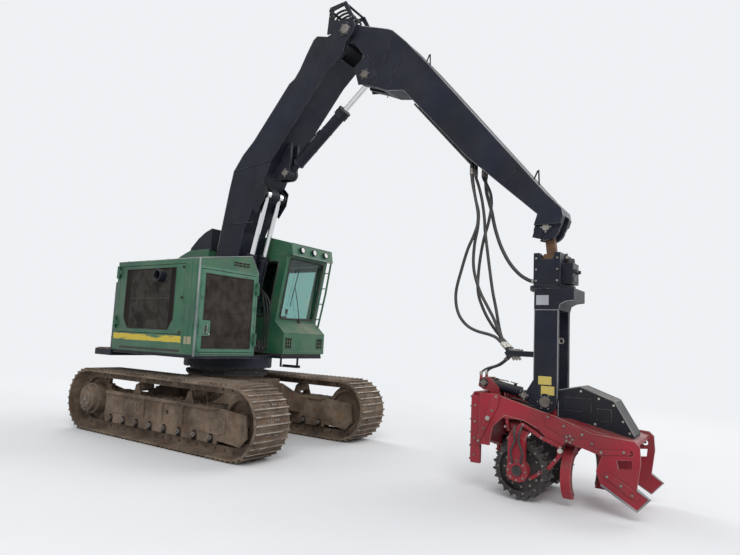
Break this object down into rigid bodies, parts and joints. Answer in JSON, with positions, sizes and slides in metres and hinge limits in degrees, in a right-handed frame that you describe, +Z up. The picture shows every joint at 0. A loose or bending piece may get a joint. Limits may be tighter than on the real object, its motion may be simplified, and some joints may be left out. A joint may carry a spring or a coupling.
{
  "type": "tracked forestry harvester",
  "caption": "Tracked swing machine with a raised boom, stick and hanging harvesting head: cab, housings, cylinders, feed wheels, knives and saw move on real joints.",
  "frame": {"origin": "on the ground under the swing axis, midway between the tracks", "axes": "+X forwards along the boom, +Y to the machine's left, the cab side, +Z up"},
  "size_m": [9.3357, 3.193, 7.3],
  "materials": {
    "paint_green": "satin enamel, dusty",
    "paint_black": "satin black enamel",
    "paint_red": "gloss red enamel, worn",
    "muddy_steel": "bare steel under dried mud",
    "machined_steel": "machined",
    "rod_chrome": "polished",
    "worn_steel": "rusty steel",
    "engine_iron": "painted casting",
    "pane": "tinted",
    "lamp_lens": "clear lens",
    "seat_cloth": "woven",
    "hose_rubber": "matt"
  },
  "bodies": {
    "undercarriage": {"carbody": "muddy_steel", "slew_ring": "machined_steel", "track_frame_r": "muddy_steel", "track_frame_l": "muddy_steel", "running_gear_r": "muddy_steel", "running_gear_l": "muddy_steel", "final_drive_r": "muddy_steel", "final_drive_l": "muddy_steel", "track_r": "muddy_steel", "track_l": "muddy_steel"},
    "upper": {"turntable": "paint_black", "deck": "paint_black", "boom_tower": "paint_black", "right_housing": "paint_green", "engine_housing": "paint_green", "boom_hump": "paint_black", "engine": "engine_iron", "counterweight": "paint_black", "cab_shell": "paint_green", "cab_roof": "paint_green", "roof_lamps": "lamp_lens", "cab_glass": "pane", "cab_seat": "seat_cloth"},
    "front_door": {"front_door": "paint_green"},
    "side_door": {"side_door": "paint_green"},
    "cab_door": {"cab_door": "paint_green", "cab_door_glass": "pane"},
    "boom": {"boom": "paint_black"},
    "lift_barrels": {"lift_barrels": "paint_black"},
    "lift_rods": {"lift_rods": "rod_chrome"},
    "stick": {"stick": "paint_black", "hose_loop": "hose_rubber", "hose_right": "hose_rubber", "hose_middle": "hose_rubber", "hose_left": "hose_rubber", "hose_rotator": "hose_rubber"},
    "stick_barrel": {"stick_barrel": "paint_black"},
    "stick_rod": {"stick_rod": "rod_chrome"},
    "link": {"link": "worn_steel"},
    "rotator": {"rotator": "paint_black"},
    "hanger": {"hanger": "paint_black"},
    "head": {"head_frame": "paint_red", "head_cover": "paint_black", "saw_box": "paint_red", "head_hose_r": "hose_rubber", "head_hose_l": "hose_rubber"},
    "tilt_barrel": {"tilt_barrel": "paint_black"},
    "tilt_rod": {"tilt_rod": "rod_chrome"},
    "saw_bar": {"saw_bar": "machined_steel"},
    "feed_arm_r": {"feed_arm_r": "paint_red"},
    "feed_arm_l": {"feed_arm_l": "paint_red"},
    "feed_wheel_r": {"feed_wheel_r": "worn_steel"},
    "feed_wheel_l": {"feed_wheel_l": "worn_steel"},
    "knife_r": {"knife_r": "paint_red"},
    "knife_l": {"knife_l": "paint_red"}
  },
  "joints": [
    {"name": "swing", "type": "hinge", "parent": "undercarriage", "child": "upper", "pos_m": [0, 0, 1.262], "axis": [0, 0, 1], "continuous": true},
    {"name": "boom_lift", "type": "hinge", "parent": "upper", "child": "boom", "pos_m": [-0.22, 0.055, 2.3], "axis": [0, -1, 0], "range_deg": [-40, 4]},
    {"name": "stick_fold", "type": "hinge", "parent": "boom", "child": "stick", "pos_m": [2.45, 0.055, 6.8], "axis": [0, 1, 0], "range_deg": [-60, 15]},
    {"name": "link_swing", "type": "hinge", "parent": "stick", "child": "link", "pos_m": [5.74, 0.055, 3.29], "axis": [0, -1, 0], "range_deg": [-50, 50], "deforming": ["hose_loop", "hose_right", "hose_middle", "hose_left", "hose_rotator"]},
    {"name": "cross_swing", "type": "hinge", "parent": "link", "child": "rotator", "pos_m": [5.785, 0.055, 2.9], "axis": [1, 0, 0], "range_deg": [-25, 25]},
    {"name": "rotator_turn", "type": "hinge", "parent": "rotator", "child": "hanger", "pos_m": [5.785, 0.055, 2.5], "axis": [0, 0, 1], "continuous": true},
    {"name": "head_tilt", "type": "hinge", "parent": "hanger", "child": "head", "pos_m": [5.785, 0.055, 1.13], "axis": [0, -1, 0], "range_deg": [-5, 90], "deforming": ["head_hose_r", "head_hose_l"]},
    {"name": "lift_barrels_swing", "type": "hinge", "parent": "upper", "child": "lift_barrels", "pos_m": [0.12, 0.055, 1.64], "axis": [0, -1, 0], "range_deg": [-34, 4]},
    {"name": "lift_rods_slide", "type": "slide", "parent": "lift_barrels", "child": "lift_rods", "axis": [0.2521, 0, 0.9677], "range_m": [-0.43, 0.05]},
    {"name": "stick_barrel_swing", "type": "hinge", "parent": "boom", "child": "stick_barrel", "pos_m": [1.16, 0.055, 4.6], "axis": [0, -1, 0], "range_deg": [-1, 3]},
    {"name": "stick_rod_slide", "type": "slide", "parent": "stick_barrel", "child": "stick_rod", "axis": [0.775, 0, 0.632], "range_m": [-0.24, 0.93]},
    {"name": "tilt_barrel_swing", "type": "hinge", "parent": "head", "child": "tilt_barrel", "pos_m": [4.985, -0.067, 1.3], "axis": [0, -1, 0], "range_deg": [-2, 25]},
    {"name": "tilt_rod_slide", "type": "slide", "parent": "tilt_barrel", "child": "tilt_rod", "axis": [0.9806, 0, -0.1961], "range_m": [-0.02, 0.32]},
    {"name": "feed_arm_r_close", "type": "hinge", "parent": "head", "child": "feed_arm_r", "pos_m": [5.785, -0.3, 0.82], "axis": [1, 0, 0], "range_deg": [0, 22]},
    {"name": "feed_wheel_r_spin", "type": "hinge", "parent": "feed_arm_r", "child": "feed_wheel_r", "pos_m": [5.595, -0.385, 0.36], "axis": [0, 1, 0], "continuous": true},
    {"name": "knife_r_close", "type": "hinge", "parent": "head", "child": "knife_r", "pos_m": [6.1, -0.2, 0.695], "axis": [1, 0, 0], "range_deg": [0, 40]},
    {"name": "feed_arm_l_close", "type": "hinge", "parent": "head", "child": "feed_arm_l", "pos_m": [5.785, 0.41, 0.82], "axis": [-1, 0, 0], "range_deg": [0, 22]},
    {"name": "feed_wheel_l_spin", "type": "hinge", "parent": "feed_arm_l", "child": "feed_wheel_l", "pos_m": [5.595, 0.495, 0.36], "axis": [0, 1, 0], "continuous": true},
    {"name": "knife_l_close", "type": "hinge", "parent": "head", "child": "knife_l", "pos_m": [6.28, 0.31, 0.695], "axis": [-1, 0, 0], "range_deg": [0, 40]},
    {"name": "saw_bar_swing", "type": "hinge", "parent": "head", "child": "saw_bar", "pos_m": [4.935, 0.4, 0.52], "axis": [1, 0, 0], "range_deg": [0, 110]},
    {"name": "front_door_swing", "type": "hinge", "parent": "upper", "child": "front_door", "pos_m": [0.912, -0.282, 1.65], "axis": [0, 0, 1], "range_deg": [0, 90]},
    {"name": "side_door_swing", "type": "hinge", "parent": "upper", "child": "side_door", "pos_m": [-1.212, -1.532, 1.85], "axis": [0, 0, -1], "range_deg": [0, 90]},
    {"name": "cab_door_swing", "type": "hinge", "parent": "upper", "child": "cab_door", "pos_m": [-0.332, 1.532, 1.75], "axis": [0, 0, 1], "range_deg": [0, 90]}
  ],
  "couplings": [
    {"joint": "lift_barrels_swing", "follows": "boom_lift", "ratio": 0.8334},
    {"joint": "lift_rods_slide", "follows": "boom_lift", "m_per_rad": 0.59766},
    {"joint": "stick_barrel_swing", "follows": "stick_fold", "ratio": -0.04279},
    {"joint": "stick_rod_slide", "follows": "stick_fold", "m_per_rad": -0.87853},
    {"joint": "tilt_barrel_swing", "follows": "head_tilt", "ratio": 0.25657},
    {"joint": "tilt_rod_slide", "follows": "head_tilt", "m_per_rad": 0.16933}
  ]
}
